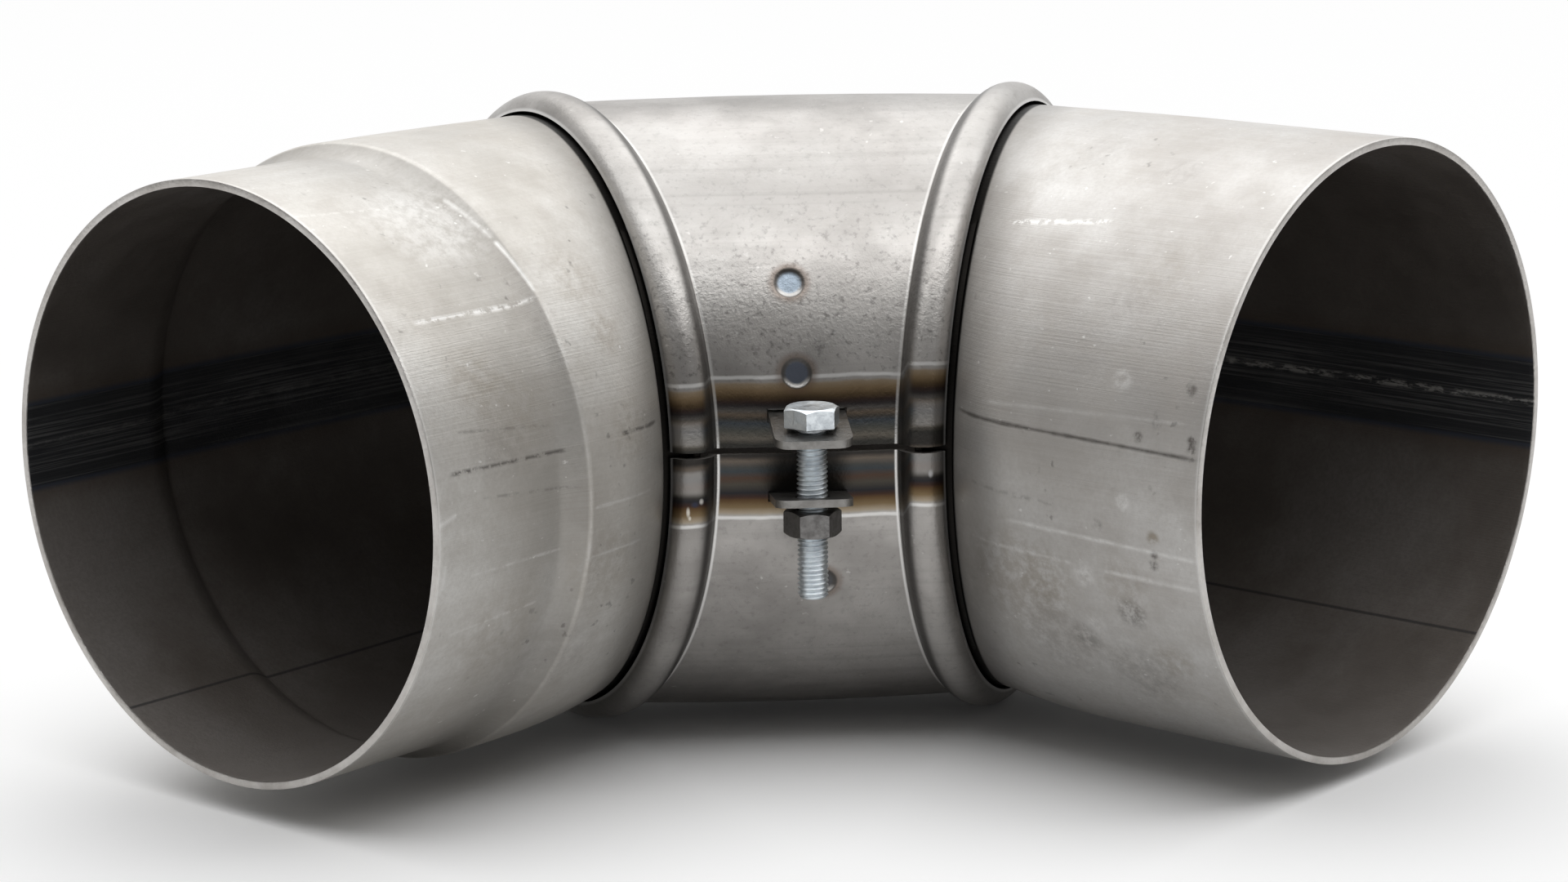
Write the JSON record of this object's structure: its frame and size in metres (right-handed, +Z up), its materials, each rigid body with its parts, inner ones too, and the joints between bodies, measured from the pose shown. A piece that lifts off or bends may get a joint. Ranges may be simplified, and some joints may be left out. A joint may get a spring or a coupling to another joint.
{
  "type": "adjustable flue elbow",
  "caption": "Adjustable raw steel flue elbow: a spigot leg and a socket leg swivel in the rolled beads of a split clamp band, locked by a bolt through its lugs.",
  "frame": {"origin": "bottom centre of the bounding box, with the elbow lying flat on the bottoms of its two beads", "axes": "+X along the clamp band's axis toward the outlet leg, +Y toward the heel of the bend, +Z up, across the bend plane"},
  "size_m": [0.4116, 0.2258, 0.174],
  "materials": {
    "leg_steel": "raw cold rolled sheet with drawing lines, smudges and scratches, dark inside",
    "band_steel": "raw cold rolled sheet with heat tint beside the split and at the spot welds",
    "lug_steel": "raw steel strip with bright sheared edges",
    "bolt_zinc": "bright zinc plate",
    "nut_steel": "dull zinc plate"
  },
  "bodies": {
    "band": {"clamp_band": "band_steel", "upper_lug": "lug_steel", "lower_lug": "lug_steel"},
    "inlet": {"inlet_leg": "leg_steel"},
    "outlet": {"outlet_leg": "leg_steel"},
    "bolt": {"clamp_bolt": "bolt_zinc"},
    "nut": {"clamp_nut": "nut_steel"}
  },
  "joints": [
    {"name": "inlet_swivel", "type": "hinge", "parent": "band", "child": "inlet", "pos_m": [-0.06082, 0.03204, 0.087], "axis": [-0.9239, -0.3827, 0], "continuous": true},
    {"name": "outlet_swivel", "type": "hinge", "parent": "band", "child": "outlet", "pos_m": [0.06118, 0.03204, 0.087], "axis": [0.9239, -0.3827, 0], "continuous": true},
    {"name": "bolt_turn", "type": "hinge", "parent": "band", "child": "bolt", "pos_m": [0.00018, -0.05797, 0.1], "axis": [0, 0, 1], "range_deg": [0, 4680]},
    {"name": "nut_travel", "type": "slide", "parent": "band", "child": "nut", "axis": [0, 0, -1], "range_m": [0, 0.01624]}
  ],
  "couplings": [
    {"joint": "bolt_turn", "follows": "nut_travel", "rad_per_m": 5026.5}
  ]
}
